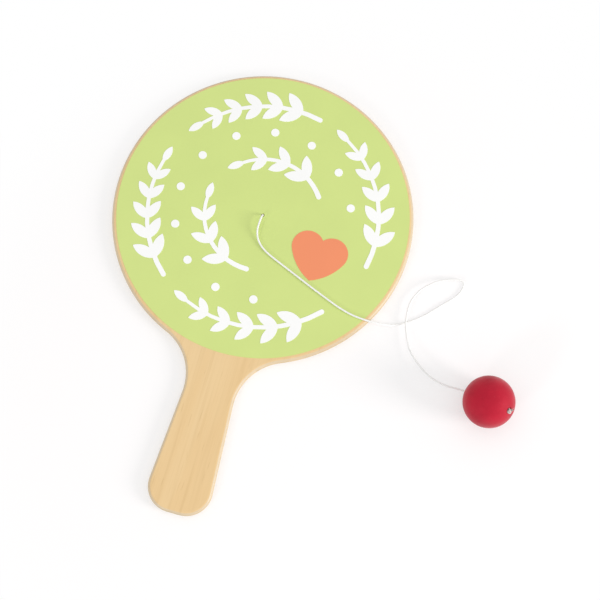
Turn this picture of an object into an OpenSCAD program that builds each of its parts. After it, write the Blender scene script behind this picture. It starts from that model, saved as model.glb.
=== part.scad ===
// Paddle ball game: a plywood paddle with a printed face, and a rubber ball on an elastic thread.
// The origin is the middle of the blade on the back face, which is what the paddle lies on.
// The handle points to -Y and the printed face is up. The ball lies beside the blade.

/* [Blade and board] */
// Diameter of the round blade
blade_d = 180; // [150:1:210]
// Length from the top of the blade to the end of the handle
paddle_l = 273; // [255:1:330]
// Thickness of the whole plywood board
board_t = 5; // [4.2:0.1:7]
// Thickness of each outer veneer
veneer_t = 1.2; // [0.8:0.1:1.5]
// Radius to which the edges are sanded
edge_r = 2; // [0.5:0.1:2.1]

/* [Handle] */
// Width of the neck at its narrowest
neck_w = 30.4; // [24:0.2:38]
// Width of the grip near its end
grip_w = 37.4; // [34:0.2:48]
// Radius of the hollow curve from the blade to the neck
neck_curve_r = 32; // [18:1:36]
// Radius of the corners at the handle's end
end_corner_r = 15; // [8:0.5:16]

/* [Printed face] */
// Diameter of the round green coat
print_d = 175; // [130:1:175]
// How far the whole print sits off the blade's middle, away from the handle
print_rise = 0.4; // [0:0.1:0.4]
// Thickness of one coat of ink
ink_t = 0.15; // [0.05:0.01:0.2]
// Width of the heart
heart_w = 34.2; // [20:0.2:40]
// Place of the heart's widest part to the right of the print's middle
heart_x = 38.6; // [25:0.2:50]
// Place of the heart's widest part below the print's middle
heart_drop = 12; // [4:0.2:20]
// Turn of the heart on the face
heart_turn = -3.5; // [-20:0.5:20]
// Width of a sprig's stem at its foot
stem_w = 3; // [1.5:0.1:4]
// Length of a sprig's largest leaf
leaf_l = 17; // [10:0.5:19]
// Width of a sprig's largest leaf
leaf_w = 7; // [4:0.5:9]
// Diameter of a dot
dot_d = 5; // [2:0.5:7]

/* [Elastic thread] */
// Diameter of the thread
thread_d = 1.1; // [0.8:0.1:1.4]
// Diameter of the hole in the paddle
hole_d = 2; // [1.6:0.1:3]
// Width of a knot
knot_d = 3.4; // [2.4:0.1:3.8]
// Length of the cut end that sticks out of a knot
tail_l = 1.2; // [0.5:0.1:1.6]

/* [Ball] */
// Diameter of the ball
ball_d = 30; // [24:0.5:36]
// Place of the ball to the right of the middle
ball_x = 155.8; // [150:0.2:200]
// Place of the ball below the middle
ball_drop = 74.8; // [60:0.2:90]
// Turn of the ball's hole, seen from above
ball_hole_turn = -18; // [-40:1:40]
// Rise of the ball's hole, from the side where the thread enters
ball_hole_rise = 37; // [0:1:40]

/* [Hidden] */

// Gap round the thread in the ball's hole
thread_gap = 0.05;
// Gap round the end knot in the ball
knot_gap = 0.2;
// Room for tying round the back knot, and between that knot and the table
tying_gap = 1.7;
table_gap = 0.3;
// Height that a thread's end stands out of a hole before it bends
mouth_h = 0.45;
// Same, on the ball
ball_mouth_h = 1;
// How far every cut runs past the surface that it cuts
overrun = 1;
// Degrees between the points of a wide arc and of a tight one
wide_step = 3;
tight_step = 7;
// Degrees between the levels of the sanded edge
edge_step = 15;
round_fn = 64;

// Share of a knot's width between its middle and the face that it bears on
knot_seat_share = 0.25;
// Share of a knot's height by which the end knot sinks into the ball
knot_sink_share = 0.34;
// Lean of the end knot's cut end, away from the ball
tail_lean = 30;
// Shares of the heart's width: lobe radius, lobe place, side radius; and where a side starts
heart_shares = [0.28, 0.22, 0.93];
heart_side_turn = -25;
// Sprigs, bent round the middle of the print: radius as a share of the print's radius, and where
// the foot and the tip are. They open towards the heart, and their tips point away from it.
sprig_shares = [
    [0.79, -12, 58], [0.79, 76, 138], [0.79, -44, -114], [0.79, -132, -194],
    [0.4, 34, 126], [0.4, -90, -182],
];
// Share of a leaf's length between one pair of leaves and the next along the stem
leaf_step_share = 0.72;
// Turn of a leaf from its stem, and shrink of the leaves and the stem towards the tip
leaf_turn = 40;
tip_shrink_share = 0.35;
// Ring of dots between the sprigs: radius as a share of the print's radius, and turns
dot_ring_share = 0.6;
dot_turns = [20:26:280];

blade_r = blade_d / 2;
print_r = print_d / 2;
ball_r = ball_d / 2;
thread_r = thread_d / 2;
knot_r = knot_d / 2;
edge = min(edge_r, board_t / 2);
ink_top = board_t + ink_t;
knot_h = knot_r + knot_seat_share * knot_d;

// The pocket in the back, which holds the back knot off the table
pocket_d = knot_d + 2 * tying_gap;
pocket_depth = knot_h + table_gap;

// The paddle's outline is arcs and two slanted sides. These are the arcs' centres and turns.
curve_x = neck_w / 2 + neck_curve_r;
curve_y = -sqrt(pow(blade_r + neck_curve_r, 2) - pow(curve_x, 2));
corner_x = grip_w / 2 - end_corner_r;
corner_y = blade_r - paddle_l + end_corner_r;
blade_turn = atan2(curve_y, curve_x);
span_x = curve_x - corner_x;
span_y = curve_y - corner_y;
side_turn = atan2(span_y, span_x) - acos((neck_curve_r + end_corner_r) / norm([span_x, span_y]));

// The ball's centre, the line of its hole, and the places along it
ball_centre = [ball_x, -ball_drop, ball_r];
hole_line = [cos(ball_hole_rise) * cos(ball_hole_turn), cos(ball_hole_rise) * sin(ball_hole_turn),
             sin(ball_hole_rise)];
ball_seat = ball_r - knot_sink_share * knot_h;
ball_mouth = -(ball_r + ball_mouth_h);

// The route of the free thread, in millimetres: out of the blade, over its rim, round a loop
// that passes over itself, and up to the ball
route = [
    [0, -0.5, 6.9], [-0.1, -2, 8], [-0.3, -5, 8.4], [-0.4, -9, 7.9], [0.2, -12.5, 7],
    [1.8, -15.8, 6.3], [4.5, -18.8, 6], [8.5, -21.6, 5.9], [14, -24.2, 5.9], [22, -27.6, 5.9],
    [32, -31.8, 5.9], [41, -35.6, 5.9], [50, -39.2, 5.9], [59, -42.6, 5.9], [67.5, -44.8, 5.9],
    [76, -45.6, 5.9], [81, -45.4, 5.5], [86, -44.8, 3.9], [91, -43.4, 1.7], [96, -41.2, 0.6],
    [101, -38, 0.6], [107.5, -33, 0.6], [116, -24, 0.6], [123.5, -15.8, 0.6], [126.2, -9.2, 0.6],
    [125, -5.8, 0.8], [120.5, -6.2, 1.3], [112.4, -9.4, 2.1], [106, -14.4, 2.7], [101, -20.4, 2.9],
    [98.2, -28.4, 2.8], [98.6, -38.8, 2.5], [100.8, -46.2, 2.7], [105, -55, 3.4], [111.5, -61.9, 4.3],
    [119.5, -67.4, 4.9], [127.5, -69.9, 4.9], [133.5, -70.3, 4.5], [139, -70.2, 4.4],
];
rings_per_step = 2;
thread_sides = 8;

// Points on an arc, from one angle to another, both ends included
function arc(centre, radius, from, to, step) =
    let (count = ceil(abs(to - from) / step))
    [for (i = [0:count]) let (a = from + (to - from) * i / count)
        centre + radius * [cos(a), sin(a)]];

function all_but_first(points) = [for (i = [1:len(points) - 1]) points[i]];

function reversed(points) = [for (i = [len(points) - 1:-1:0]) points[i]];

// The right half of the paddle's outline, drawn in by a distance, from the top of the blade down
function half_outline(inset) = concat(
    arc([0, 0], blade_r - inset, 90, blade_turn, wide_step),
    all_but_first(arc([curve_x, curve_y], neck_curve_r + inset, 180 + blade_turn,
                      180 + side_turn, tight_step)),
    arc([corner_x, corner_y], end_corner_r - inset, side_turn, -90, tight_step));

// The whole outline: down the left side from the top, then up the right side
function outline(inset) =
    let (half = half_outline(inset))
    concat([for (p = half) [-p.x, p.y]], reversed(all_but_first(half)));

// How far the sanded edge draws the outline in at a height above the back face
function edge_inset(z) =
    let (depth = max(0, edge - z, z - board_t + edge))
    edge - sqrt(max(0, edge * edge - depth * depth));

// The levels of a ply: its own two faces, and those of the sanded edge between them
function ply_levels(low, high) =
    let (drops = [for (a = [0:edge_step:90]) edge * (1 - cos(a))])
    let (all = concat(drops, [for (d = reversed(drops)) board_t - d]))
    concat([low], [for (z = all) if (z > low + ink_t / 2 && z < high - ink_t / 2) z], [high]);

// Faces that join each ring of points to the next one
function side_faces(count, rings) =
    [for (k = [0:rings - 2], i = [0:count - 1])
        let (a = k * count + i, b = k * count + (i + 1) % count)
        [a, a + count, b + count, b]];

// Faces that close an outline which is the same on the left and on the right, as strips across it
function strip_faces(count) = concat(
    [[0, count - 1, 1]],
    [for (i = [1:(count - 3) / 2]) [i, count - i, count - i - 1, i + 1]]);

function turned_over(faces) = [for (f = faces) reversed(f)];

function shifted(faces, by) = [for (f = faces) [for (i = f) i + by]];

// One layer of the board, with its share of the sanded edge
module ply(low, high) {
    levels = ply_levels(low, high);
    rings = [for (z = levels) [for (p = outline(edge_inset(z))) [p.x, p.y, z]]];
    count = len(rings[0]);
    last = count * (len(levels) - 1);
    polyhedron([for (ring = rings) each ring],
               concat(turned_over(strip_faces(count)), side_faces(count, len(levels)),
                      shifted(strip_faces(count), last)),
               convexity = 4);
}

// The drilled hole for the thread
module thread_hole() {
    translate([0, 0, -overrun]) cylinder(d = hole_d, h = ink_top + 2 * overrun, $fn = round_fn);
}

module knot_pocket() {
    translate([0, 0, -overrun]) cylinder(d = pocket_d, h = pocket_depth + overrun, $fn = round_fn);
}

module face_veneer() {
    color("#ecca93") difference() {
        ply(board_t - veneer_t, board_t);
        thread_hole();
    }
}

module core_ply() {
    color("#dcb67c") difference() {
        ply(veneer_t, board_t - veneer_t);
        thread_hole();
        knot_pocket();
    }
}

module back_veneer() {
    color("#ecca93") difference() {
        ply(0, veneer_t);
        knot_pocket();
    }
}

module green_print() {
    color("#d0e08a") difference() {
        translate([0, print_rise, board_t]) cylinder(d = print_d, h = ink_t, $fn = round_fn);
        thread_hole();
    }
}

// A pointed leaf from the middle of its base, where two equal arcs cross
module leaf(length, width) {
    bow_r = (length * length + width * width) / (4 * width);
    translate([0, length / 2]) intersection() {
        translate([bow_r - width / 2, 0]) circle(r = bow_r, $fn = round_fn);
        translate([width / 2 - bow_r, 0]) circle(r = bow_r, $fn = round_fn);
    }
}

// How much of its width a sprig's stem keeps at a share of its way, and its leaves of their size
function shrink(share) = 1 - tip_shrink_share * share;

// One side of a sprig's stem, which bends round the origin
function stem_side(radius, from, to, side) =
    let (steps = ceil(abs(to - from) / tight_step))
    [for (i = [0:steps]) let (turn = from + (to - from) * i / steps)
        (radius + side * stem_w / 2 * shrink(i / steps)) * [cos(turn), sin(turn)]];

// A sprig round the origin: a stem that thins towards its tip, with pairs of leaves along it
// and one leaf at the tip
module sprig(radius, from, to) {
    way = sign(to - from);
    pairs = floor(radius * abs(to - from) * PI / 180 / (leaf_step_share * leaf_l));
    polygon(concat(stem_side(radius, from, to, way), reversed(stem_side(radius, from, to, -way))));
    rotate(from) translate([radius, 0]) circle(d = stem_w, $fn = round_fn);
    for (i = [1:pairs], side = i < pairs ? [-1, 1] : [0]) {
        small = shrink(i / pairs);
        rotate(from + (to - from) * i / pairs) translate([radius, 0])
            rotate(90 - way * 90 + side * leaf_turn) translate([0, -stem_w * small / 2])
                leaf(leaf_l * small, leaf_w * small);
    }
}

module ornament_print() {
    color("white") translate([0, print_rise, ink_top]) linear_extrude(ink_t) {
        for (s = sprig_shares) {
            sprig(s[0] * print_r, s[1], s[2]);
        }
        for (turn = dot_turns) {
            rotate(turn) translate([dot_ring_share * print_r, 0])
                circle(d = dot_d, $fn = round_fn);
        }
    }
}

// The right half of a heart: a lobe, then a long side that meets the other at the tip
function heart_half() =
    let (lobe_r = heart_shares[0] * heart_w, lobe_x = heart_shares[1] * heart_w)
    let (side_r = heart_shares[2] * heart_w)
    let (side_centre = [lobe_x, 0] + (lobe_r - side_r) * [cos(heart_side_turn), sin(heart_side_turn)])
    concat(arc([lobe_x, 0], lobe_r, acos(-lobe_x / lobe_r), heart_side_turn, tight_step),
           all_but_first(arc(side_centre, side_r, heart_side_turn, -acos(-side_centre.x / side_r),
                             tight_step / 2)));

module heart_print() {
    half = heart_half();
    inner = [for (i = [1:len(half) - 2]) half[i]];
    color("#f2966e") translate([heart_x, print_rise - heart_drop, ink_top]) rotate(heart_turn)
        linear_extrude(ink_t) polygon(concat([for (p = half) [-p.x, p.y]], reversed(inner)));
}

// A tied knot as a round lump, flat where it bears on its seat at z = 0, with its cut end
module knot(lean) {
    middle = knot_seat_share * knot_d;
    difference() {
        translate([0, 0, middle]) sphere(d = knot_d, $fn = round_fn);
        translate([-knot_d, -knot_d, -2 * knot_d]) cube(2 * knot_d);
    }
    translate([0, 0, middle]) rotate([0, 90 - lean, 0])
        cylinder(d = thread_d, h = knot_r + tail_l, $fn = round_fn);
}

module back_knot() {
    color("#e9e6de") translate([0, 0, pocket_depth]) mirror([0, 0, 1]) knot(0);
}

module board_thread() {
    color("white") translate([0, 0, pocket_depth])
        cylinder(d = thread_d, h = ink_top + mouth_h - pocket_depth, $fn = round_fn);
}

// A smooth curve through four points, at a share of the way from the second to the third
function between(a, b, c, d, t) =
    0.5 * (2 * b + (c - a) * t + (2 * a - 5 * b + 4 * c - d) * t * t
           + (3 * b - a - 3 * c + d) * t * t * t);

function unit(v) = v / norm(v);

// The thread's centreline: the route with the two mouths that it runs between
thread_start = [0, 0, ink_top + mouth_h];
thread_end = ball_centre + ball_mouth * hole_line;
stops = concat([thread_start - [0, 0, mouth_h], thread_start], route,
               [thread_end, thread_end + ball_mouth_h * hole_line]);
centreline = concat(
    [for (i = [1:len(stops) - 3], k = [0:rings_per_step - 1])
        between(stops[i - 1], stops[i], stops[i + 1], stops[i + 2], k / rings_per_step)],
    [thread_end]);

// Direction of the centreline at each point, square to the mouths at both ends
function heading(points, i) =
    i == 0 ? [0, 0, 1] : i == len(points) - 1 ? hole_line : unit(points[i + 1] - points[i - 1]);

// A tube round a line of points. Each ring's first side is carried on from the ring before it,
// so the tube doesn't twist.
module tube(points, radius, sides) {
    headings = [for (i = [0:len(points) - 1]) heading(points, i)];
    firsts = [for (i = 0, side = [1, 0, 0]; i < len(points);
                   i = i + 1,
                   side = i < len(points) ? unit(side - (side * headings[i]) * headings[i]) : side)
                 side];
    rings = [for (i = [0:len(points) - 1]) let (up = cross(headings[i], firsts[i]))
                [for (k = [0:sides - 1]) let (a = 360 * k / sides)
                    points[i] + radius * (cos(a) * firsts[i] + sin(a) * up)]];
    last = sides * (len(points) - 1);
    cap = [for (k = [0:sides - 1]) k];
    polyhedron([for (ring = rings) each ring],
               concat([cap], side_faces(sides, len(points)), shifted(turned_over([cap]), last)),
               convexity = 10);
}

module free_thread() {
    color("white") tube(centreline, thread_r, thread_sides);
}

// Turns what is drawn along Z into the line of the ball's hole
module along_hole() {
    translate(ball_centre) rotate([0, 0, ball_hole_turn]) rotate([0, 90 - ball_hole_rise, 0])
        children();
}

module ball_thread() {
    color("white") along_hole() translate([0, 0, ball_mouth])
        cylinder(d = thread_d, h = ball_seat - ball_mouth, $fn = round_fn);
}

module end_knot() {
    color("#e9e6de") along_hole() translate([0, 0, ball_seat]) knot(tail_lean);
}

module ball() {
    color("#c01f38") difference() {
        translate(ball_centre) sphere(d = ball_d, $fn = round_fn);
        along_hole() {
            translate([0, 0, ball_mouth])
                cylinder(d = thread_d + 2 * thread_gap, h = ball_d + ball_mouth_h, $fn = round_fn);
            translate([0, 0, ball_seat - thread_gap])
                cylinder(d = knot_d + 2 * knot_gap, h = knot_d, $fn = round_fn);
        }
    }
}

face_veneer();
core_ply();
back_veneer();
green_print();
ornament_print();
heart_print();
back_knot();
board_thread();
free_thread();
ball_thread();
end_knot();
ball();
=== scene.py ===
"""Paddle ball game: a printed plywood paddle, and a rubber ball on an elastic thread.

Everything is in metres, in the frame of the packed model: the middle of the blade on its back face
is the origin, the handle points to -Y and the printed face is up.
"""

import math
from contextlib import contextmanager

import bmesh
import bpy
from bpy.props import FloatProperty, FloatVectorProperty, IntProperty, PointerProperty
from mathutils import Matrix, Vector


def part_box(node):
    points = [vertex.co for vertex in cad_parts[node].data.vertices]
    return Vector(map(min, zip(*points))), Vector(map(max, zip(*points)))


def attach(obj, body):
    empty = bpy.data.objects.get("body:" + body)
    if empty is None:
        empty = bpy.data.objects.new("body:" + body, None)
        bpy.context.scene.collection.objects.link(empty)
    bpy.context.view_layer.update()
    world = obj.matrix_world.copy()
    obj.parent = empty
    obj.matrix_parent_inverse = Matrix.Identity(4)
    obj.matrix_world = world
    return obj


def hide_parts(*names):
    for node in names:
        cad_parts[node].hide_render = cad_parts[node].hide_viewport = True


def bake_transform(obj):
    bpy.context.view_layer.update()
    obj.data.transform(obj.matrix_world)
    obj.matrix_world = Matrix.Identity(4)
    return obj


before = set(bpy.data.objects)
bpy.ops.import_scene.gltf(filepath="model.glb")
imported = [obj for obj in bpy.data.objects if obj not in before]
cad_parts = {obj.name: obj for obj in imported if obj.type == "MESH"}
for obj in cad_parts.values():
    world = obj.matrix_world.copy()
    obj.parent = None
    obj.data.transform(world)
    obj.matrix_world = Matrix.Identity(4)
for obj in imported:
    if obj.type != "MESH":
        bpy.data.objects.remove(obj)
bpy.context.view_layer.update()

bl_info = {
    "name": "Paddle Ball Game",
    "version": (1, 0, 0),
    "blender": (4, 5, 0),
    "location": "View3D > Sidebar > Paddle Ball",
    "description": "Builds a plywood paddle with a printed face and a ball on an elastic thread",
    "category": "Add Mesh",
}

MM = 0.001

# What the packed model says about places and sizes
CORE_LOW, CORE_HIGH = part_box("core_ply")
BOARD_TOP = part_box("face_veneer")[1].z
BALL_LOW, BALL_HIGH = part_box("ball")
BALL_CENTRE = (BALL_LOW + BALL_HIGH) / 2
KNOT_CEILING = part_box("back_knot")[1].z
HOLE_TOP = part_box("board_thread")[1].z

# The free thread's route, which the source of the packed model has too: out of the blade, over its
# rim, round a loop that passes over itself, and up to the ball
THREAD_ROUTE_MM = [
    (0, -0.5, 6.9), (-0.1, -2, 8), (-0.3, -5, 8.4), (-0.4, -9, 7.9), (0.2, -12.5, 7),
    (1.8, -15.8, 6.3), (4.5, -18.8, 6), (8.5, -21.6, 5.9), (14, -24.2, 5.9), (22, -27.6, 5.9),
    (32, -31.8, 5.9), (41, -35.6, 5.9), (50, -39.2, 5.9), (59, -42.6, 5.9), (67.5, -44.8, 5.9),
    (76, -45.6, 5.9), (81, -45.4, 5.5), (86, -44.8, 3.9), (91, -43.4, 1.7), (96, -41.2, 0.6),
    (101, -38, 0.6), (107.5, -33, 0.6), (116, -24, 0.6), (123.5, -15.8, 0.6), (126.2, -9.2, 0.6),
    (125, -5.8, 0.8), (120.5, -6.2, 1.3), (112.4, -9.4, 2.1), (106, -14.4, 2.7), (101, -20.4, 2.9),
    (98.2, -28.4, 2.8), (98.6, -38.8, 2.5), (100.8, -46.2, 2.7), (105, -55, 3.4),
    (111.5, -61.9, 4.3), (119.5, -67.4, 4.9), (127.5, -69.9, 4.9), (133.5, -70.3, 4.5),
    (139, -70.2, 4.4),
]

# How finely the thread is made: a step along it, a step in its knots, and the points of a knot's loop
RING_STEP = 0.7 * MM
KNOT_STEP = 0.18 * MM
KNOT_POINTS = 60

# One step of the braid, and how many strands run each way round
BRAID_STEP = 0.9 * MM
BRAID_STRANDS = 4

# A filament's turn from the one before, and its bend, as shares of its length onwards and outwards
FILAMENT_TURN = math.radians(137.5)
FILAMENT_BEND = [(-0.3, 0), (0, 0), (0.5, 0.25), (0.85, 0.9)]

# A narrow rim keeps the shading of the board's flat faces apart from the rounding
FLAT_RIM = 0.3 * MM
# How much of the glue shows at either side of the core
GLUE_LINE = 0.16 * MM
# How far under the board's faces the edge's tint begins, and how far under them it is full. The tint
# is partly the sanded wood's own colour and partly painted sheen and shade on the rounding
EDGE_TINT_FROM = 0.03 * MM
EDGE_TINT_FULL = 0.25 * MM

# The lips of the ball's dimple and recess, and its faint moulding seam
LIP = 0.25 * MM
SEAM_HEIGHT = 0.05 * MM
SEAM_WIDTH = 0.28 * MM
# The dimple's throat, as depths in millimetres and widths that are multiples of the hole's
DIMPLE_THROAT = [(1.9, 1.0), (1.0, 1.05), (0.55, 1.35)]

# Steps of the ball's profile, steps round the ball, and sides of a drilled hole
PROFILE_STEPS = 72
LATHE_STEPS = 96
DRILL_SIDES = 48

# Points nearer to each other than this are one
WELD = 0.01 * MM

# The lamps stand some metres to the right in the picture, up in it and over the table
KEY_PLACE = (1.9, -0.7, 0.75)
KEY_WIDTH = 0.8
KEY_COLOUR = (1.0, 0.985, 0.96)
FILL_PLACE = (-1.1, -1.3, 0.8)
FILL_WIDTH = 0.4
FILL_COLOUR = (0.97, 0.985, 1.0)

# Width of the camera's sensor, against which the lens is measured
SENSOR_WIDTH_MM = 36

# How strongly the room lights from the sides, as a share of an even sky
SIDE_SHARE = 0.4

# The table's size, and how far it lies under the game
TABLE_SIZE = 8
TABLE_DROP = 0.05 * MM
# Its white where it lights the game, and in the picture how it shades and what it adds to that
TABLE_WHITE = (0.88, 0.88, 0.875)
TABLE_SHADING = (0.60, 0.56, 0.57)
TABLE_LIFT = (0.402, 0.427, 0.419)
# The middle of its shading, right and up in the picture from the target, and where it fades out
TABLE_MIDDLE = (0.01, -0.045)
TABLE_FADE = (0.15, 0.24)
# A surface as near as this touches the table
TOUCHING = 1.2 * MM


class BoardSizes(bpy.types.PropertyGroup):
    """Sizes of the plywood paddle"""

    blade_radius: FloatProperty(
        name="Blade Radius", description="Radius of the round blade",
        default=CORE_HIGH.x, min=0.05, unit="LENGTH")
    handle_end: FloatProperty(
        name="Handle End", description="Distance from the blade's middle to the handle's end",
        default=-CORE_LOW.y, min=0.1, unit="LENGTH")
    thickness: FloatProperty(
        name="Thickness", description="Thickness of the whole board",
        default=BOARD_TOP, min=0.002, unit="LENGTH")
    edge_radius: FloatProperty(
        name="Edge Radius", description="Radius to which the edges are sanded",
        default=2 * MM, min=0.0005, unit="LENGTH")
    neck_width: FloatProperty(
        name="Neck Width", description="Width of the neck at its narrowest",
        default=30.4 * MM, min=0.01, unit="LENGTH")
    grip_width: FloatProperty(
        name="Grip Width", description="Width of the grip near its end",
        default=37.4 * MM, min=0.01, unit="LENGTH")
    neck_curve_radius: FloatProperty(
        name="Neck Curve Radius", description="Radius of the hollow from the blade to the neck",
        default=32 * MM, min=0.005, unit="LENGTH")
    corner_radius: FloatProperty(
        name="Corner Radius", description="Radius of the corners at the handle's end",
        default=15 * MM, min=0.002, unit="LENGTH")
    hole_radius: FloatProperty(
        name="Hole Radius", description="Radius of the thread's hole",
        default=1 * MM, min=0.0005, unit="LENGTH")
    pocket_radius: FloatProperty(
        name="Pocket Radius", description="Radius of the pocket that holds the back knot",
        default=3.4 * MM, min=0.001, unit="LENGTH")
    edge_segments: IntProperty(
        name="Edge Segments", description="Steps in the sanded edge", default=8, min=2)


class ThreadSizes(bpy.types.PropertyGroup):
    """Sizes of the elastic thread and its knots"""

    radius: FloatProperty(
        name="Radius", description="Radius of the thread", default=0.55 * MM, min=0.0002,
        unit="LENGTH")
    knot_radius: FloatProperty(
        name="Knot Radius", description="Radius of the line that the thread follows in a knot",
        default=1.2 * MM, min=0.0005, unit="LENGTH")
    knot_thread_radius: FloatProperty(
        name="Thread Radius In Knot", description="Radius of the stretched thread in a knot",
        default=0.48 * MM, min=0.0002, unit="LENGTH")
    knot_rise: FloatProperty(
        name="Knot Rise", description="Height of a knot's middle over its seat",
        default=1.25 * MM, min=0.0005, unit="LENGTH")
    tail: FloatProperty(
        name="Tail", description="Length of the cut end that sticks out of a knot",
        default=1.1 * MM, min=0, unit="LENGTH")
    fray: FloatProperty(
        name="Fray", description="Length of the loose filaments at the cut end",
        default=1.2 * MM, min=0.0001, unit="LENGTH")
    filaments: IntProperty(
        name="Filaments", description="Number of loose filaments at the cut end", default=11, min=1)
    filament_radius: FloatProperty(
        name="Filament Radius", description="Radius of one loose filament",
        default=0.09 * MM, min=0.00001, unit="LENGTH")
    end_knot_turn: FloatProperty(
        name="End Knot Turn", description="Turn of the ball's knot about the line of its hole",
        default=math.radians(225), unit="ROTATION")


class BallSizes(bpy.types.PropertyGroup):
    """Sizes of the rubber ball"""

    radius: FloatProperty(
        name="Radius", description="Radius of the ball",
        default=BALL_HIGH.z / 2, min=0.005, unit="LENGTH")
    hole_turn: FloatProperty(
        name="Hole Turn", description="Turn of the ball's hole, seen from above",
        default=math.radians(-18), unit="ROTATION")
    hole_rise: FloatProperty(
        name="Hole Rise", description="Rise of the ball's hole from the side where the thread enters",
        default=math.radians(37), unit="ROTATION")
    hole_radius: FloatProperty(
        name="Hole Radius", description="Radius of the hole",
        default=0.6 * MM, min=0.0002, unit="LENGTH")
    recess_radius: FloatProperty(
        name="Recess Radius", description="Radius of the recess that the end knot sits in",
        default=1.9 * MM, min=0.0005, unit="LENGTH")
    recess_depth: FloatProperty(
        name="Recess Depth", description="Depth of the knot's seat under the ball's surface",
        default=0.87 * MM, min=0.0002, unit="LENGTH")
    dimple_radius: FloatProperty(
        name="Dimple Radius", description="Radius of the dimple where the thread pulls in",
        default=1.6 * MM, min=0.0005, unit="LENGTH")
    mouth: FloatProperty(
        name="Mouth", description="Length of thread that stands straight out of the hole",
        default=1 * MM, min=0, unit="LENGTH")


class Colours(bpy.types.PropertyGroup):
    """Colours of the finishes, in linear light"""

    veneer: FloatVectorProperty(
        name="Veneer", description="Outer plies", subtype="COLOR", default=(0.837, 0.599, 0.311))
    veneer_dark: FloatVectorProperty(
        name="Veneer Streaks", description="Darker streaks in the outer plies", subtype="COLOR",
        default=(0.772, 0.507, 0.223))
    # Partly the sanded wood's colour, partly painted sheen and shade on the rounded edges
    sanded_and_painted_light: FloatVectorProperty(
        name="Sanded Edge", description="Sanded edges of the outer plies", subtype="COLOR",
        default=(0.60, 0.55, 0.46))
    core: FloatVectorProperty(
        name="Core", description="Core ply", subtype="COLOR", default=(0.800, 0.620, 0.380))
    green: FloatVectorProperty(
        name="Green Ink", description="Round coat on the face", subtype="COLOR",
        default=(0.635, 0.752, 0.240))
    white: FloatVectorProperty(
        name="White Ink", description="Ornament on the face", subtype="COLOR",
        default=(0.975, 0.975, 0.968))
    coral: FloatVectorProperty(
        name="Coral Ink", description="Heart on the face", subtype="COLOR",
        default=(0.900, 0.282, 0.128))
    elastic: FloatVectorProperty(
        name="Elastic", description="Thread", subtype="COLOR", default=(0.96, 0.955, 0.94))
    # The knots are greyer than the thread: painted shade, as they sit in the ball's recess and the
    # board's pocket
    shaded_knot: FloatVectorProperty(
        name="Handled Elastic", description="Knots, a little grey from being handled",
        subtype="COLOR", default=(0.66, 0.60, 0.57))
    ball: FloatVectorProperty(
        name="Ball Rubber", description="Ball", subtype="COLOR", default=(0.515, 0.0065, 0.030))


class StageSettings(bpy.types.PropertyGroup):
    """Camera and lights"""

    target: FloatVectorProperty(
        name="Target", description="Point on the table in the middle of the picture",
        subtype="TRANSLATION", unit="LENGTH", default=(35.2 * MM, -42.9 * MM, 0))
    azimuth: FloatProperty(
        name="Azimuth", description="Turn of the camera round the object",
        default=math.radians(15.8), unit="ROTATION")
    elevation: FloatProperty(
        name="Elevation", description="Height of the camera over the table as an angle",
        default=math.radians(75.73), unit="ROTATION")
    distance: FloatProperty(
        name="Distance", description="Distance of the camera from its target",
        default=0.8, min=0.1, unit="LENGTH")
    lens: FloatProperty(
        name="Lens", description="Focal length in millimetres", default=81.27, min=10)
    room_light: FloatProperty(
        name="Room Light", description="Strength of the soft light from all round",
        default=0.774, min=0)
    key_power: FloatProperty(
        name="Key Power", description="Power of the large soft lamp on the right",
        default=25.0, min=0, unit="POWER")
    fill_power: FloatProperty(
        name="Fill Power", description="Power of the soft lamp on the lower left",
        default=5.0, min=0, unit="POWER")


# Tools that the pieces share

def select_only(piece):
    bpy.ops.object.select_all(action="DESELECT")
    piece.select_set(True)
    bpy.context.view_layer.objects.active = piece


@contextmanager
def editing(piece, mode="VERT"):
    """Edit mode on one piece, with nothing selected at first"""
    select_only(piece)
    bpy.ops.object.mode_set(mode="EDIT")
    bpy.ops.mesh.select_mode(type=mode)
    bpy.ops.mesh.select_all(action="DESELECT")
    yield
    bpy.ops.object.mode_set(mode="OBJECT")


def pick(piece, kind, wanted):
    """In edit mode, selects the faces or edges that pass a test and nothing else"""
    shape = bmesh.from_edit_mesh(piece.data)
    bpy.ops.mesh.select_mode(type=kind)
    bpy.ops.mesh.select_all(action="DESELECT")
    for part in shape.faces if kind == "FACE" else shape.edges:
        part.select_set(wanted(part))
    bmesh.update_edit_mesh(piece.data)


def copy_piece(piece, name):
    select_only(piece)
    bpy.ops.object.duplicate()
    made = bpy.context.object
    made.name = made.data.name = name
    return made


def remove_piece(piece):
    select_only(piece)
    bpy.ops.object.delete()


def settle(piece, name):
    """Names a new primitive and applies its place, so that its object sits at the origin"""
    select_only(piece)
    bpy.ops.object.transform_apply(location=True, rotation=True, scale=True)
    piece.name = piece.data.name = name
    return piece


def apply_modifier(piece, kind, **settings):
    select_only(piece)
    modifier = piece.modifiers.new(kind.title(), kind)
    for key, value in settings.items():
        setattr(modifier, key, value)
    bpy.ops.object.modifier_apply(modifier=modifier.name)


def smooth(piece, degrees):
    """Smooth shading, but for edges sharper than an angle"""
    select_only(piece)
    bpy.ops.object.shade_smooth_by_angle(angle=math.radians(degrees))


def dress(piece, material):
    piece.data.materials.clear()
    piece.data.materials.append(material)


def polar(radius, turn):
    return Vector((radius * math.cos(turn), radius * math.sin(turn)))


# Materials

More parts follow.
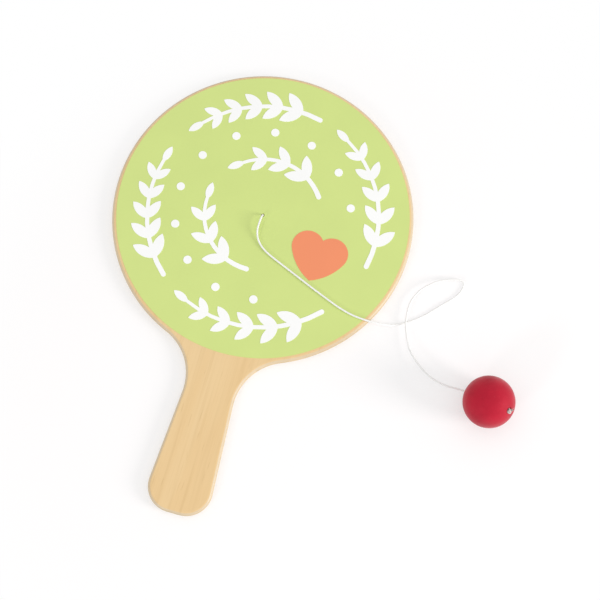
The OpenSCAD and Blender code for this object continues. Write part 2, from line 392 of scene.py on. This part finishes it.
class Nodes:
    """A tree of shader nodes, and the nodes that recipes use most"""

    def __init__(self, tree):
        self.tree = tree

    def add(self, kind, inputs=None, **settings):
        """Adds a node. Each of its inputs, by name or number, takes a value or another's output."""
        node = self.tree.nodes.new("ShaderNode" + kind)
        for key, value in settings.items():
            setattr(node, key, value)
        for key, value in (inputs or {}).items():
            if isinstance(value, bpy.types.NodeSocket):
                self.tree.links.new(value, node.inputs[key])
            else:
                node.inputs[key].default_value = value
        return node

    def between(self, value, low, high, to_low=0.0, to_high=1.0):
        """A number that goes smoothly from one value to another as its source rises"""
        return self.add("MapRange", {
            "Value": value, "From Min": low, "From Max": high, "To Min": to_low,
            "To Max": to_high}, interpolation_type="SMOOTHSTEP").outputs[0]

    def math(self, operation, *values):
        return self.add("Math", dict(enumerate(values)), operation=operation).outputs[0]

    def mix(self, share, first, second):
        """A colour between two colours, each a socket or linear red, green and blue"""
        full = [c if isinstance(c, bpy.types.NodeSocket) else (*c, 1.0) for c in (first, second)]
        return self.add("Mix", {0: share, 6: full[0], 7: full[1]}, data_type="RGBA").outputs[2]


class Recipe(Nodes):
    """A node material, built from the surface backwards"""

    def __init__(self, name, **surface):
        self.material = bpy.data.materials.new(name)
        self.material.use_nodes = True
        super().__init__(self.material.node_tree)
        self.surface = self.tree.nodes["Principled BSDF"]
        for key, value in surface.items():
            socket = key.replace("_", " ").title().replace("Ior", "IOR")
            self.surface.inputs[socket].default_value = value

    def place(self, scale=(1, 1, 1)):
        return self.add("Mapping", {
            "Vector": self.add("TexCoord").outputs["Object"], "Scale": scale}).outputs[0]

    def off_level(self, level):
        """How far a point is over or under a level"""
        place = self.add("SeparateXYZ", {"Vector": self.add("TexCoord").outputs["Object"]})
        return self.math("ABSOLUTE", self.math("SUBTRACT", place.outputs["Z"], level))

    def noise(self, place, scale, detail=3, roughness=0.5, distortion=0):
        return self.add("TexNoise", {
            "Vector": place, "Scale": scale, "Detail": detail, "Roughness": roughness,
            "Distortion": distortion}).outputs["Fac"]

    def tint(self, under, over, pattern, low, high, share=1.0):
        """Lays a colour over another as a pattern rises from low to high, up to a share"""
        return self.mix(self.between(pattern, low, high, 0.0, share), under, over)

    def bump(self, height, distance, under=None):
        inputs = {"Height": height, "Distance": distance}
        if under is not None:
            inputs["Normal"] = under
        return self.add("Bump", inputs).outputs[0]

    def set(self, key, output):
        self.tree.links.new(output, self.surface.inputs[key])


def dimmed(colour, share):
    return [share * c for c in colour]


def wood_streaks(recipe, across=False):
    """Broad streaks, drawn out along the paddle or across it"""
    drawn = 0.022
    return recipe.noise(recipe.place((drawn, 1, 1) if across else (1, drawn, 1)), scale=430,
                        detail=4, distortion=0.25)


def wood_fibres(recipe):
    return recipe.noise(recipe.place((1, 0.02, 1)), scale=2100, detail=2, roughness=0.65)


def veneer_material(colours):
    """Clear birch with fine straight streaks and short flecks, and a greyer tone on the rounded edge
    that is partly the sanded wood's colour and partly painted sheen and shade
    """
    recipe = Recipe("clear_birch", roughness=0.46, coat_weight=0.18, coat_roughness=0.28)
    streaks, fibres = wood_streaks(recipe), wood_fibres(recipe)
    tone = recipe.noise(recipe.place((1, 0.12, 1)), scale=52, detail=2, distortion=0.7)
    flecks = recipe.noise(recipe.place((1, 0.09, 1)), scale=760, detail=1)
    deep = dimmed(colours.veneer_dark, 0.80)
    wood = recipe.tint(colours.veneer, colours.veneer_dark, tone, low=0.40, high=0.66, share=0.40)
    wood = recipe.tint(wood, deep, streaks, low=0.46, high=0.74, share=0.27)
    wood = recipe.tint(wood, deep, fibres, low=0.52, high=0.80, share=0.20)
    wood = recipe.tint(wood, deep, flecks, low=0.68, high=0.76, share=0.36)
    half = BOARD_TOP / 2
    # The rounded edge takes up to half of the edge colour: partly sanded wood, partly painted sheen
    # and shade
    sanded_and_painted_light = recipe.between(
        recipe.off_level(half), half - EDGE_TINT_FULL, half - EDGE_TINT_FROM, to_low=0.5, to_high=0.0)
    recipe.set("Base Color", recipe.mix(sanded_and_painted_light, wood, colours.sanded_and_painted_light))
    recipe.set("Roughness", recipe.between(streaks, 0.3, 0.7, to_low=0.42, to_high=0.52))
    recipe.set("Normal", recipe.bump(fibres, 0.03 * MM, under=recipe.bump(streaks, 0.04 * MM)))
    return recipe.material


def core_material(colours):
    """The core's edge shows cut ends of fibres, with a thin dark line of glue on either side"""
    recipe = Recipe("cross_ply", roughness=0.62)
    streaks = wood_streaks(recipe, across=True)
    pores = recipe.noise(recipe.place(), scale=2600, detail=2, roughness=0.6)
    core = colours.core
    wood = recipe.tint(core, dimmed(core, 0.76), streaks, low=0.35, high=0.70, share=0.6)
    wood = recipe.tint(wood, dimmed(core, 0.60), pores, low=0.50, high=0.75, share=0.5)
    half = (CORE_HIGH.z - CORE_LOW.z) / 2
    off_middle = recipe.off_level(CORE_LOW.z + half)
    recipe.set("Base Color", recipe.tint(
        wood, dimmed(core, 0.45), off_middle, low=half - GLUE_LINE, high=half, share=0.45))
    recipe.set("Normal", recipe.bump(pores, 0.05 * MM, under=recipe.bump(streaks, 0.05 * MM)))
    return recipe.material


def ink_material(name, colour, roughness):
    """Screen ink: even, with a fine orange peel, and the wood's fibres just showing through"""
    recipe = Recipe(name, roughness=roughness)
    peel = recipe.noise(recipe.place(), scale=1300, detail=2)
    cloud = recipe.noise(recipe.place(), scale=38)
    fibres = wood_fibres(recipe)
    recipe.set("Base Color", recipe.tint(colour, dimmed(colour, 0.975), cloud, low=0.3, high=0.7))
    recipe.set("Roughness", recipe.between(
        peel, 0.3, 0.7, to_low=roughness - 0.04, to_high=roughness + 0.05))
    recipe.set("Normal", recipe.bump(peel, 0.012 * MM, under=recipe.bump(fibres, 0.016 * MM)))
    return recipe.material


def elastic_material(name, colour):
    """Braided elastic: two sets of strands that wind round the thread in opposite directions"""
    recipe = Recipe(name, roughness=0.6)
    place = recipe.add("SeparateXYZ", {"Vector": recipe.add("TexCoord").outputs["UV"]})
    along, round_it = place.outputs["X"], place.outputs["Y"]
    strands = []
    for way in (1, -1):
        wound = recipe.math(
            "ADD", along, recipe.math("MULTIPLY", round_it, way * BRAID_STRANDS))
        strands.append(recipe.math("SINE", recipe.math("MULTIPLY", wound, 2 * math.pi)))
    braid = recipe.math("MAXIMUM", *strands)
    # Between the strands the colour is a little darker: painted shade in the braid's grooves
    recipe.set("Base Color", recipe.tint(dimmed(colour, 0.94), colour, braid, low=-0.2, high=0.9))
    recipe.set("Normal", recipe.bump(braid, 0.03 * MM))
    return recipe.material


def rubber_material(colours):
    """Matt moulded rubber with a fine grain, a cloudy tone and a little chalky dust"""
    recipe = Recipe("red_rubber", roughness=0.68, specular_ior_level=0.22, sheen_weight=0.32,
                    sheen_roughness=0.4)
    grain = recipe.noise(recipe.place(), scale=3200, roughness=0.6)
    cloud = recipe.noise(recipe.place(), scale=95, detail=4, roughness=0.6)
    dust = recipe.noise(recipe.place(), scale=620, detail=4, roughness=0.7)
    dusty = [c * 0.8 + 0.07 for c in colours.ball]
    rubber = recipe.tint(colours.ball, dimmed(colours.ball, 0.88), cloud, low=0.35, high=0.68)
    rubber = recipe.tint(rubber, dusty, dust, low=0.58, high=0.80, share=0.30)
    recipe.set("Base Color", rubber)
    recipe.set("Roughness", recipe.between(cloud, 0.3, 0.7, to_low=0.62, to_high=0.72))
    recipe.set("Normal", recipe.bump(grain, 0.03 * MM, under=recipe.bump(cloud, 0.10 * MM)))
    return recipe.material


def floor_material(middle):
    """A white table that keeps the shadows near the game and fades to plain white further off. It is
    clear from below, and where something touches it, so that the back can be seen in plain light."""
    recipe = Recipe("white_table")
    nodes, links = recipe.tree.nodes, recipe.tree.links
    nodes.remove(recipe.surface)
    rays = recipe.add("LightPath").outputs
    seen = rays["Is Camera Ray"]
    from_middle = recipe.add("Mapping", {
        "Vector": recipe.add("TexCoord").outputs["Object"], "Location": -middle}).outputs[0]
    way_off = recipe.add("VectorMath", {0: from_middle}, operation="LENGTH").outputs["Value"]
    faded = recipe.between(way_off, *TABLE_FADE)
    shaded = recipe.mix(faded, TABLE_SHADING, (0, 0, 0))
    paint = recipe.add("BsdfDiffuse", {"Color": recipe.mix(seen, TABLE_WHITE, shaded)})
    lift = recipe.add("Emission", {
        "Color": recipe.mix(faded, TABLE_LIFT, (1, 1, 1)), "Strength": seen})
    lit = recipe.add("AddShader", {0: paint.outputs[0], 1: lift.outputs[0]})
    near = recipe.math("LESS_THAN", rays["Ray Length"], TOUCHING)
    touched = recipe.math("MULTIPLY", near, recipe.math("SUBTRACT", 1.0, seen))
    below = recipe.add("NewGeometry").outputs["Backfacing"]
    clear = recipe.add("BsdfTransparent")
    shown = recipe.add("MixShader", {
        0: recipe.math("MAXIMUM", below, touched), 1: lit.outputs[0], 2: clear.outputs[0]})
    links.new(shown.outputs[0], nodes["Material Output"].inputs["Surface"])
    return recipe.material


# Lines that the thread follows

def smooth_line(points, step):
    """A smooth curve through points, as many points that lie about a step apart"""
    points = [Vector(p) for p in points]
    padded = [2 * points[0] - points[1], *points, 2 * points[-1] - points[-2]]
    line = []
    for a, b, c, d in zip(padded, padded[1:], padded[2:], padded[3:]):
        count = max(1, round((c - b).length / step))
        for i in range(count):
            t = i / count
            line.append(0.5 * (2 * b + (c - a) * t + (2 * a - 5 * b + 4 * c - d) * t * t
                               + (3 * b - a - 3 * c + d) * t ** 3))
    return [*line, points[-1]]


def relaxed(line, passes):
    """The line with small kinks evened out, and both ends where they were"""
    for _ in range(passes):
        line = [line[0], *[(a + 2 * b + c) / 4 for a, b, c in zip(line, line[1:], line[2:])],
                line[-1]]
    return line


def line_length(line):
    return sum((b - a).length for a, b in zip(line, line[1:]))


def elastic_tube(name, line, radii):
    """A closed tube along a line. Its own map counts braid steps along it and turns round it."""
    curve = bpy.data.curves.new(name, "CURVE")
    curve.dimensions = "3D"
    # At a depth of 1, the radius of each point is the tube's own
    curve.bevel_depth = 1.0
    curve.bevel_resolution = 4
    curve.use_fill_caps = True
    spline = curve.splines.new("POLY")
    spline.points.add(len(line) - 1)
    for point, place, radius in zip(spline.points, line, radii):
        point.co, point.radius = (*place, 1), radius
    tube = bpy.data.objects.new(name, curve)
    bpy.context.scene.collection.objects.link(tube)
    select_only(tube)
    bpy.ops.object.convert(target="MESH")
    tube = bpy.context.object
    steps = line_length(line) / BRAID_STEP
    for corner in tube.data.uv_layers[0].data:
        corner.uv.x *= steps
    smooth(tube, degrees=60)
    return tube


def hole_axis(ball):
    flat = math.cos(ball.hole_rise)
    return Vector((flat * math.cos(ball.hole_turn), flat * math.sin(ball.hole_turn),
                   math.sin(ball.hole_rise)))


def knot_line(thread, turn, tail_lean):
    """An overhand knot on a seat at z = 0, which the thread enters from below and leaves sideways"""
    spin = Matrix.Rotation(turn, 3, "Z")
    reach, rise = thread.knot_radius, thread.knot_rise
    # The loop is a trefoil that stops short of its start, where the cut end leaves it
    last = 5 / 3 * math.pi + 0.25
    turns = [last * i / KNOT_POINTS for i in range(KNOT_POINTS + 1)]
    loop = [Vector((reach / 3 * (math.sin(t) + 2 * math.sin(2 * t)),
                    reach / 3 * (math.cos(t) - 2 * math.cos(2 * t)),
                    rise - rise / 2 * math.sin(3 * t))) for t in turns]
    out = (loop[-1] - loop[-2]).normalized()
    out.z = tail_lean
    tail = [loop[-1] + out * thread.tail * share for share in (0.5, 1)]
    foot = [Vector((0, 0, 0)), Vector((0, -0.1 * reach, 0.45 * rise))]
    return [spin @ p for p in (*foot, *loop, *tail)]


def loose_filaments(thread, foot, way):
    """The filaments of a cut end, spread evenly over it, which splay out and differ in length"""
    across = way.orthogonal().normalized()
    beside = way.cross(across)
    made = []
    for i in range(thread.filaments):
        turn = i * FILAMENT_TURN
        spread = math.sqrt((i + 0.5) / thread.filaments)
        outward = math.cos(turn) * across + math.sin(turn) * beside
        # Each starts a little inside the thread, and some are shorter
        start = foot + 0.75 * spread * thread.knot_thread_radius * outward
        reach = thread.fray * (0.8 + 0.2 * math.sin(3 * turn))
        line = smooth_line([start + reach * (onward * way + out * spread * outward)
                            for onward, out in FILAMENT_BEND], KNOT_STEP)
        last = len(line) - 1
        made.append(elastic_tube("filament", line, [
            thread.filament_radius * (1 - 0.5 * i / last) for i in range(last + 1)]))
    return made


def knotted_end(name, thread, mouth, seat, axis, turn, tail_lean):
    """The thread from a mouth straight to a seat, its knot there, and its frayed cut end"""
    tilt = Vector((0, 0, 1)).rotation_difference(axis)
    knot = [seat + tilt @ p for p in knot_line(thread, turn, tail_lean)]
    line = smooth_line([mouth, mouth.lerp(seat, 0.5), *knot], KNOT_STEP)
    reach = 2 * thread.knot_rise
    radii = []
    for point in line:
        share = min(1, max(0, (point - seat).dot(axis) / reach + 0.5))
        radii.append(thread.radius + share * (thread.knot_thread_radius - thread.radius))
    tube = elastic_tube(name, line, radii)
    filaments = loose_filaments(thread, line[-1], (line[-1] - line[-2]).normalized())
    select_only(tube)
    for filament in filaments:
        filament.select_set(True)
    bpy.ops.object.join()
    return tube


class PADDLE_OT_thread(bpy.types.Operator):
    """Make the elastic thread: its free stretch, and its knotted ends in the board and the ball"""

    bl_idname = "paddle.thread"
    bl_label = "Elastic Thread"

    def execute(self, context):
        thread, ball = context.scene.paddle_thread, context.scene.paddle_ball
        axis = hole_axis(ball)
        start = Vector((0, 0, HOLE_TOP))
        end = BALL_CENTRE - (ball.radius + ball.mouth) * axis
        route = [start, *[MM * Vector(p) for p in THREAD_ROUTE_MM], end]
        line = relaxed(smooth_line(route, RING_STEP), passes=6)
        free = elastic_tube("elastic_thread", line, [thread.radius] * len(line))
        board_end = knotted_end("board_end_of_thread", thread, start,
                                Vector((0, 0, KNOT_CEILING)), Vector((0, 0, -1)), turn=0,
                                tail_lean=0)
        ball_end = knotted_end("ball_end_of_thread", thread, end,
                               BALL_CENTRE + (ball.radius - ball.recess_depth) * axis, axis,
                               turn=thread.end_knot_turn, tail_lean=0.5)
        colours = context.scene.paddle_colours
        # The knots' greyer colour is painted shade
        shaded_knot = elastic_material("shaded_knot_elastic", colours.shaded_knot)
        dress(free, elastic_material("white_elastic", colours.elastic))
        dress(board_end, shaded_knot)
        dress(ball_end, shaded_knot)
        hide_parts("free_thread")
        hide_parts("board_thread", "back_knot")
        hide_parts("ball_thread", "end_knot")
        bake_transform(free)
        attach(board_end, "paddle")
        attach(ball_end, "thread_end")
        return {"FINISHED"}


# The board

def draw_arc(centre, turn, degrees_a_step):
    """Spins the outline's last point round a centre, clockwise for a positive turn"""
    bpy.ops.mesh.spin(steps=math.ceil(abs(math.degrees(turn)) / degrees_a_step), angle=turn,
                      center=(*centre, 0), axis=(0, 0, 1))


def draw_side(outline, end):
    """Extrudes the outline's last point straight to a place"""
    here = next(v.co for v in bmesh.from_edit_mesh(outline.data).verts if v.select)
    bpy.ops.mesh.extrude_region_move(
        TRANSFORM_OT_translate={"value": (end.x - here.x, end.y - here.y, 0)})


def draw_outline(board):
    """The paddle's outline as one flat face at z = 0. Half of it is drawn from the top of the blade
    down, as arcs and straight sides that touch each other smoothly, and mirrored."""
    curve = Vector((board.neck_width / 2 + board.neck_curve_radius, 0))
    curve.y = -math.sqrt((board.blade_radius + board.neck_curve_radius) ** 2 - curve.x ** 2)
    corner = Vector((board.grip_width / 2 - board.corner_radius,
                     board.corner_radius - board.handle_end))
    blade_turn = math.atan2(curve.y, curve.x)
    span = curve - corner
    side_turn = math.atan2(span.y, span.x) - math.acos(
        (board.neck_curve_radius + board.corner_radius) / span.length)

    bpy.ops.object.select_all(action="DESELECT")
    bpy.ops.mesh.primitive_plane_add(size=MM, location=(0, board.blade_radius, 0))
    outline = settle(bpy.context.object, "outline")
    with editing(outline):
        bpy.ops.mesh.select_all(action="SELECT")
        bpy.ops.mesh.merge(type="CENTER")
        draw_arc((0, 0), math.pi / 2 - blade_turn, degrees_a_step=1.5)
        draw_arc(curve, blade_turn - side_turn, degrees_a_step=4)
        draw_side(outline, corner + polar(board.corner_radius, side_turn))
        draw_arc(corner, side_turn + math.pi / 2, degrees_a_step=5)
        draw_side(outline, Vector((0, -board.handle_end)))
    apply_modifier(outline, "MIRROR", use_clip=True, merge_threshold=WELD)
    with editing(outline):
        bpy.ops.mesh.select_all(action="SELECT")
        bpy.ops.mesh.remove_doubles(threshold=WELD)
        bpy.ops.mesh.edge_face_add()
        bpy.ops.mesh.normals_make_consistent(inside=False)
    return outline


def sanded_board(board):
    """The outline made as thick as the board, with its edges rounded top and bottom"""
    piece = draw_outline(board)
    with editing(piece, "FACE"):
        bpy.ops.mesh.select_all(action="SELECT")
        bpy.ops.mesh.extrude_region_move(
            TRANSFORM_OT_translate={"value": (0, 0, board.thickness)})
        bpy.ops.mesh.select_all(action="SELECT")
        bpy.ops.mesh.normals_make_consistent(inside=False)
        pick(piece, "EDGE", lambda edge: abs(edge.verts[0].co.z - edge.verts[1].co.z) < WELD)
        bpy.ops.mesh.bevel(offset=board.edge_radius, segments=board.edge_segments,
                           affect="EDGES", clamp_overlap=False)
        # Only the flat top and bottom have more than four corners
        pick(piece, "FACE", lambda face: len(face.verts) > 4)
        bpy.ops.mesh.inset(thickness=FLAT_RIM, use_individual=True)
    return piece


def cut_ply(whole, name, low, high):
    """The part of the board between two heights"""
    piece = copy_piece(whole, name)
    for height, normal in ((low, 1), (high, -1)):
        if not 0 < height < BOARD_TOP:
            continue
        with editing(piece):
            bpy.ops.mesh.select_all(action="SELECT")
            bpy.ops.mesh.bisect(plane_co=(0, 0, height), plane_no=(0, 0, normal),
                                use_fill=True, clear_inner=True)
    return piece


def drill(piece, radius, low, high):
    """Cuts a round hole on the blade's axis"""
    bpy.ops.object.select_all(action="DESELECT")
    bpy.ops.mesh.primitive_cylinder_add(
        vertices=DRILL_SIDES, radius=radius, depth=high - low,
        location=(0, 0, (low + high) / 2))
    bit = settle(bpy.context.object, "bit")
    apply_modifier(piece, "BOOLEAN", operation="DIFFERENCE", object=bit, solver="EXACT")
    remove_piece(bit)


class PADDLE_OT_board(bpy.types.Operator):
    """Make the three plies of the paddle, with the thread's hole and the knot's pocket"""

    bl_idname = "paddle.board"
    bl_label = "Plywood Board"

    def execute(self, context):
        board, colours = context.scene.paddle_board, context.scene.paddle_colours
        veneer, core = veneer_material(colours), core_material(colours)
        whole = sanded_board(board)
        # The drills run a little past the faces that they cut through
        past = 2 * MM
        for node, low, high, material, slot in (
                ("back_veneer", 0, CORE_LOW.z, veneer, "back_wood"),
                ("core_ply", CORE_LOW.z, CORE_HIGH.z, core, "core_wood"),
                ("face_veneer", CORE_HIGH.z, board.thickness, veneer, "face_wood")):
            ply = cut_ply(whole, node + "_sanded", low, high)
            if low < KNOT_CEILING:
                drill(ply, board.pocket_radius, -past, KNOT_CEILING)
            if high > KNOT_CEILING:
                drill(ply, board.hole_radius, -past, board.thickness + past)
            smooth(ply, degrees=35)
            dress(ply, material)
            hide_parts(node)
            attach(ply, "paddle")
        remove_piece(whole)
        return {"FINISHED"}


class PADDLE_OT_prints(bpy.types.Operator):
    """Finish the three printed inks on the face"""

    bl_idname = "paddle.prints"
    bl_label = "Printed Inks"

    def execute(self, context):
        colours = context.scene.paddle_colours
        for node, colour, roughness in (
                ("green_print", colours.green, 0.44), ("ornament_print", colours.white, 0.40),
                ("heart_print", colours.coral, 0.42)):
            dress(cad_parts[node], ink_material(node, colour, roughness))
        return {"FINISHED"}


# The ball

def lathe_profile(ball):
    """Half of the ball's section, from the mouth of the thread's hole round to the knot's recess.
    Each point is a distance along the hole's axis and a distance from it."""
    radius, hole, recess = ball.radius, ball.hole_radius, ball.recess_radius
    start = math.asin((ball.dimple_radius + LIP) / radius)
    finish = math.pi - math.asin((recess + LIP) / radius)
    sphere = []
    for i in range(PROFILE_STEPS + 1):
        turn = start + (finish - start) * i / PROFILE_STEPS
        off_seam = (turn - math.pi / 2) * radius / SEAM_WIDTH
        reach = radius + SEAM_HEIGHT * math.exp(-off_seam ** 2)
        sphere.append((-reach * math.cos(turn), reach * math.sin(turn)))
    # The dimple's throat opens to its lip
    dimple_edge = -math.sqrt(radius ** 2 - ball.dimple_radius ** 2)
    throat = [(-radius + depth * MM, hole * width) for depth, width in DIMPLE_THROAT]
    lip = [(dimple_edge + 0.18 * MM, hole * 1.9),
           (dimple_edge + 0.03 * MM, ball.dimple_radius * 0.93)]
    # The recess has a small rounding at its rim and round its floor, and a chamfer at the hole
    rim, corner, chamfer = 0.12 * MM, 0.15 * MM, 0.1 * MM
    seat = radius - ball.recess_depth
    recess_edge = math.sqrt(radius ** 2 - recess ** 2)
    knot_seat = [(recess_edge + 0.02 * MM, recess + rim), (recess_edge - 0.08 * MM, recess),
                 (seat + corner, recess), (seat, recess - corner), (seat, hole + chamfer),
                 (seat - chamfer, hole)]
    return [*throat, *lip, *sphere, *knot_seat]


class PADDLE_OT_ball(bpy.types.Operator):
    """Make the rubber ball, with the thread's dimple and the end knot's recess"""

    bl_idname = "paddle.ball"
    bl_label = "Rubber Ball"

    def execute(self, context):
        ball = context.scene.paddle_ball
        profile = lathe_profile(ball)
        bpy.ops.object.select_all(action="DESELECT")
        bpy.ops.mesh.primitive_circle_add(vertices=len(profile), radius=ball.radius)
        piece = settle(bpy.context.object, "drilled_ball")
        with editing(piece):
            shape = bmesh.from_edit_mesh(piece.data)
            shape.verts.ensure_lookup_table()
            for vertex, (along, out) in zip(shape.verts, profile):
                vertex.co = (out, 0, along)
            bmesh.update_edit_mesh(piece.data)
            # The circle's own closing edge becomes the wall of the hole
            bpy.ops.mesh.select_all(action="SELECT")
            bpy.ops.mesh.spin(steps=LATHE_STEPS, angle=2 * math.pi, center=(0, 0, 0), axis=(0, 0, 1))
            bpy.ops.mesh.select_all(action="SELECT")
            bpy.ops.mesh.remove_doubles(threshold=WELD / 2)
            bpy.ops.mesh.normals_make_consistent(inside=False)
        piece.rotation_mode = "QUATERNION"
        piece.rotation_quaternion = Vector((0, 0, 1)).rotation_difference(hole_axis(ball))
        piece.location = BALL_CENTRE
        settle(piece, "drilled_ball")
        smooth(piece, degrees=50)
        dress(piece, rubber_material(context.scene.paddle_colours))
        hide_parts("ball")
        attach(piece, "ball")
        return {"FINISHED"}


# The stage

def aim(thing, target):
    thing.rotation_euler = (target - thing.location).to_track_quat("-Z", "Y").to_euler()


def soft_lamp(name, place, target, size, power, colour):
    bpy.ops.object.light_add(type="AREA", location=place)
    lamp = bpy.context.object
    lamp.name = name
    lamp.data.shape, lamp.data.size, lamp.data.energy = "DISK", size, power
    lamp.data.color = colour
    aim(lamp, target)


def white_room(strength):
    """A world that looks plain white, and lights more from overhead than from the sides. A level
    surface gets as much light from it as from an even sky of the given strength."""
    world = bpy.data.worlds.new("white_room")
    world.use_nodes = True
    room = Nodes(world.node_tree)
    rays = room.add("LightPath").outputs
    direct = room.math("MAXIMUM", rays["Is Camera Ray"], rays["Is Glossy Ray"])
    seen = room.math("MAXIMUM", direct, rays["Is Transmission Ray"])
    way_up = room.add("SeparateXYZ", {
        "Vector": room.add("TexCoord").outputs["Generated"]}).outputs["Z"]
    plain = room.math("MAXIMUM", seen, room.math("LESS_THAN", way_up, 0))
    light = room.add("MapRange", {
        "Value": way_up, "To Min": strength * SIDE_SHARE, "To Max": strength * (3 - SIDE_SHARE) / 2})
    level = room.add("MapRange", {"Value": plain, "To Min": light.outputs[0], "To Max": 1.0})
    background = world.node_tree.nodes["Background"]
    background.inputs["Color"].default_value = (1, 1, 1, 1)
    world.node_tree.links.new(level.outputs[0], background.inputs["Strength"])
    return world


class PADDLE_OT_stage(bpy.types.Operator):
    """Set up the camera, the white table and the soft lamps"""

    bl_idname = "paddle.stage"
    bl_label = "Stage"

    def execute(self, context):
        stage = context.scene.paddle_stage
        target = Vector(stage.target)
        flat = math.cos(stage.elevation)
        back = Vector((math.sin(stage.azimuth) * flat, -math.cos(stage.azimuth) * flat,
                       math.sin(stage.elevation)))
        bpy.ops.object.camera_add(location=target + stage.distance * back)
        camera = bpy.context.object
        camera.data.lens, camera.data.sensor_width = stage.lens, SENSOR_WIDTH_MM
        aim(camera, target)
        context.scene.camera = camera

        right = Vector((math.cos(stage.azimuth), math.sin(stage.azimuth), 0))
        up = Vector((-math.sin(stage.azimuth), math.cos(stage.azimuth), 0))

        def off_target(across, along, height=0):
            return target + across * right + along * up + Vector((0, 0, height))

        soft_lamp("key", off_target(*KEY_PLACE), target, KEY_WIDTH, stage.key_power, KEY_COLOUR)
        soft_lamp("fill", off_target(*FILL_PLACE), target, FILL_WIDTH, stage.fill_power,
                  FILL_COLOUR)

        bpy.ops.object.select_all(action="DESELECT")
        bpy.ops.mesh.primitive_plane_add(size=TABLE_SIZE, location=(0, 0, -TABLE_DROP))
        floor = settle(bpy.context.object, "table")
        dress(floor, floor_material(off_target(*TABLE_MIDDLE)))

        context.scene.world = white_room(stage.room_light)
        context.scene.view_settings.view_transform = "Standard"
        return {"FINISHED"}


class PADDLE_PT_panel(bpy.types.Panel):
    """Sizes, finishes and the steps that build the game"""

    bl_idname = "PADDLE_PT_panel"
    bl_label = "Paddle Ball Game"
    bl_space_type = "VIEW_3D"
    bl_region_type = "UI"
    bl_category = "Paddle Ball"

    def draw(self, context):
        for operator in OPERATORS:
            self.layout.operator(operator.bl_idname)
        for name, group in SETTINGS.items():
            box = self.layout.box()
            box.label(text=group.__doc__)
            for key in group.__annotations__:
                box.prop(getattr(context.scene, name), key)


OPERATORS = (PADDLE_OT_stage, PADDLE_OT_thread, PADDLE_OT_board, PADDLE_OT_prints, PADDLE_OT_ball)
SETTINGS = {"paddle_board": BoardSizes, "paddle_thread": ThreadSizes, "paddle_ball": BallSizes,
            "paddle_colours": Colours, "paddle_stage": StageSettings}


def register():
    for name, group in SETTINGS.items():
        bpy.utils.register_class(group)
        setattr(bpy.types.Scene, name, PointerProperty(type=group))
    for kind in (*OPERATORS, PADDLE_PT_panel):
        bpy.utils.register_class(kind)


def unregister():
    for kind in (PADDLE_PT_panel, *reversed(OPERATORS)):
        bpy.utils.unregister_class(kind)
    for name, group in SETTINGS.items():
        delattr(bpy.types.Scene, name)
        bpy.utils.unregister_class(group)


def main():
    register()
    bpy.ops.paddle.stage()
    bpy.ops.paddle.thread()
    bpy.ops.paddle.board()
    bpy.ops.paddle.prints()
    bpy.ops.paddle.ball()


if __name__ == "__main__":
    main()
